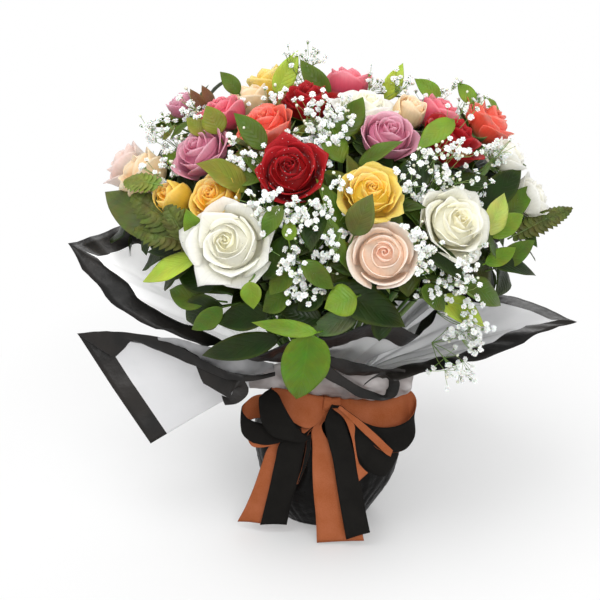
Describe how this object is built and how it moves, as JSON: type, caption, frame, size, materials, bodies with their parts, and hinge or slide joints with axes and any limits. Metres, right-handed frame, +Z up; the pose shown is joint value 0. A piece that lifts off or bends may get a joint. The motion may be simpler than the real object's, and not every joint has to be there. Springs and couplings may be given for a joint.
{
  "type": "rose bouquet",
  "caption": "Hand-tied bouquet of mixed roses, gypsophila and leaves in a film collar, standing in a wrapped vase tied with a two-colour bow.",
  "frame": {"origin": "centre of the underside of the wrapped vase, on the floor", "axes": "+Z up, -Y towards the bow, +X to the right seen from the bow's side"},
  "size_m": [0.4502, 0.3778, 0.435],
  "materials": {
    "petals_white": "soft matte petal",
    "petals_cream": "soft matte petal",
    "petals_blush": "soft matte petal",
    "petals_yellow": "soft matte petal",
    "petals_red": "velvety petal",
    "petals_mauve": "soft matte petal",
    "petals_peach": "soft matte petal",
    "petals_pink": "soft matte petal",
    "petals_coral": "soft matte petal",
    "leaf": "waxy",
    "gypsophila": "matte",
    "stem": "satin",
    "twine": "matte",
    "collar_film": "frosted",
    "wrap_film": "glossy",
    "vase": "matte",
    "ribbon_orange": "matte non-woven",
    "ribbon_black": "matte non-woven"
  },
  "bodies": {
    "root": {"rose_white_front_left": "petals_white", "rose_blush_front": "petals_blush", "rose_cream_right": "petals_cream", "rose_yellow_centre": "petals_yellow", "rose_red_centre": "petals_red", "rose_mauve_left": "petals_mauve", "rose_mauve_right": "petals_mauve", "rose_yellow_left": "petals_yellow", "rose_yellow_bud": "petals_yellow", "rose_peach_left": "petals_peach", "rose_blush_far_left": "petals_blush", "rose_pink_left": "petals_pink", "rose_coral_left": "petals_coral", "rose_peach_top": "petals_peach", "rose_yellow_top": "petals_yellow", "rose_red_top": "petals_red", "rose_pink_top": "petals_pink", "rose_white_top": "petals_white", "rose_peach_bud": "petals_peach", "rose_pink_right": "petals_pink", "rose_red_right": "petals_red", "rose_coral_right": "petals_coral", "rose_white_right": "petals_white", "rose_white_far_right": "petals_white", "rose_mauve_bud": "petals_mauve", "rose_cream_back_right": "petals_cream", "rose_red_back_right": "petals_red", "rose_white_back": "petals_white", "rose_pink_back_left": "petals_pink", "rose_yellow_back_left": "petals_yellow", "rose_mauve_back_right": "petals_mauve", "rose_coral_back": "petals_coral", "rose_peach_back_left": "petals_peach", "foliage_front": "leaf", "foliage_left": "leaf", "foliage_right": "leaf", "foliage_back": "leaf", "gypsophila_top": "gypsophila", "gypsophila_right": "gypsophila", "gypsophila_front_right": "gypsophila", "stem_bundle": "stem", "binding_twine": "twine", "collar_upper_left": "collar_film", "collar_front": "collar_film", "collar_back_right": "collar_film", "collar_back_left": "collar_film", "collar_lower_left": "collar_film", "collar_right": "collar_film", "base_wrap": "wrap_film", "vase": "vase", "ribbon_band": "ribbon_orange", "bow_knot": "ribbon_orange", "bow_loop_right": "ribbon_orange", "bow_loop_left": "ribbon_orange", "tail_orange_front": "ribbon_orange", "tail_orange_left": "ribbon_orange", "bow_loop_low_right": "ribbon_black", "bow_loop_low_left": "ribbon_black", "tail_black_front": "ribbon_black", "tail_black_left": "ribbon_black"}
  },
  "joints": []
}
